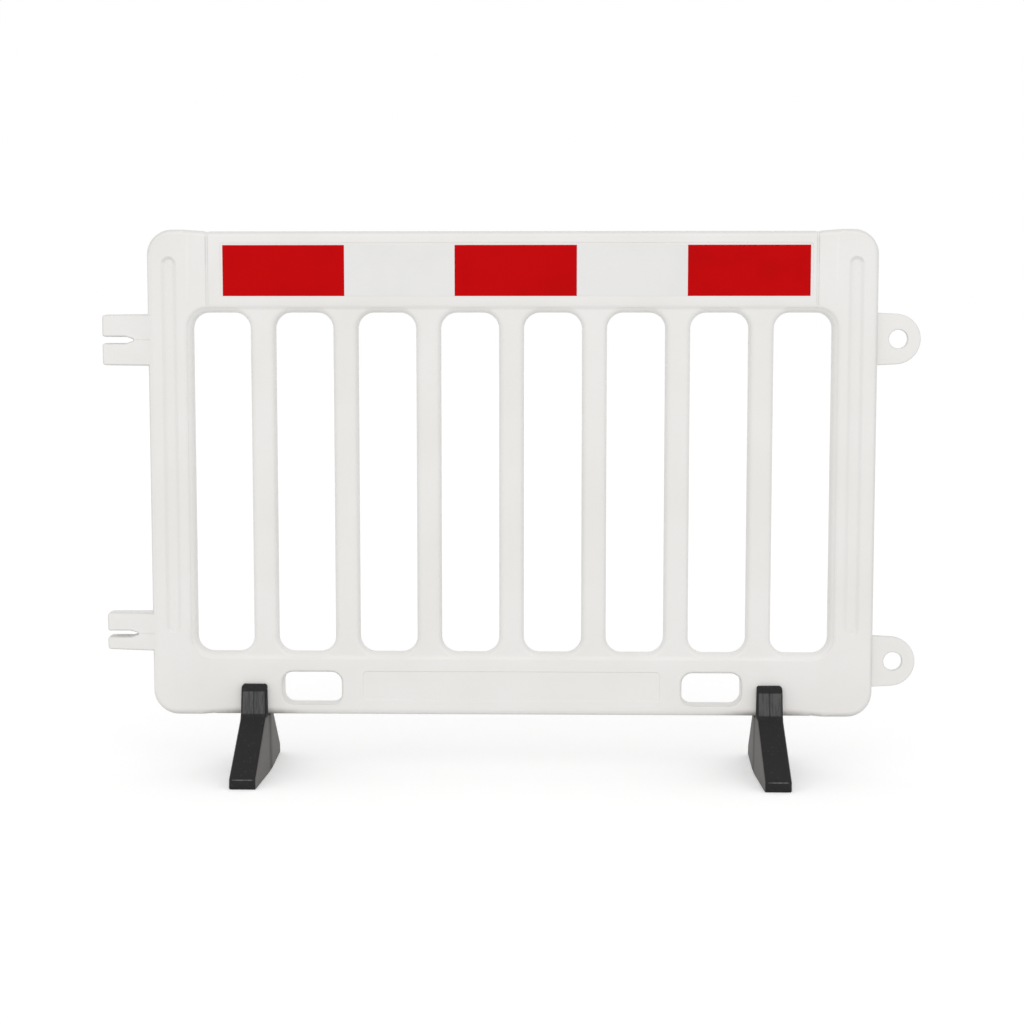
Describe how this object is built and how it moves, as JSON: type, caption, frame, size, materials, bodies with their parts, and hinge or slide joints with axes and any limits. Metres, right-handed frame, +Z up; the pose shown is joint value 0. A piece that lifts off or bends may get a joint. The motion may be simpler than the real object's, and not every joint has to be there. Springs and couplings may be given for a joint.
{
  "type": "traffic hoarding panel",
  "caption": "Slotted plastic traffic hoarding panel with upright bars, a red and white reflective board on top, linking forks and lugs at its ends, and pull-off rubber feet.",
  "frame": {"origin": "on the ground under the middle of the panel", "axes": "+X along the panel towards the lugs, +Y towards the back, +Z up; the front in the picture faces -Y"},
  "size_m": [1.4944, 0.318, 1.004],
  "materials": {
    "panel_plastic": "fine-grained moulded",
    "red_film": "reflective sheeting",
    "white_film": "reflective sheeting",
    "foot_rubber": "dull moulded rubber"
  },
  "bodies": {
    "panel": {"panel_moulding": "panel_plastic", "red_strip_front_left": "red_film", "white_strip_front_left": "white_film", "red_strip_front_centre": "red_film", "white_strip_front_right": "white_film", "red_strip_front_right": "red_film", "red_strip_rear_left": "red_film", "white_strip_rear_left": "white_film", "red_strip_rear_centre": "red_film", "white_strip_rear_right": "white_film", "red_strip_rear_right": "red_film"},
    "left_foot": {"foot_left": "foot_rubber"},
    "right_foot": {"foot_right": "foot_rubber"}
  },
  "joints": [
    {"name": "left_foot_pull", "type": "slide", "parent": "panel", "child": "left_foot", "axis": [0, 0, -1], "range_m": [0, 0.07]},
    {"name": "right_foot_pull", "type": "slide", "parent": "panel", "child": "right_foot", "axis": [0, 0, -1], "range_m": [0, 0.07]}
  ]
}
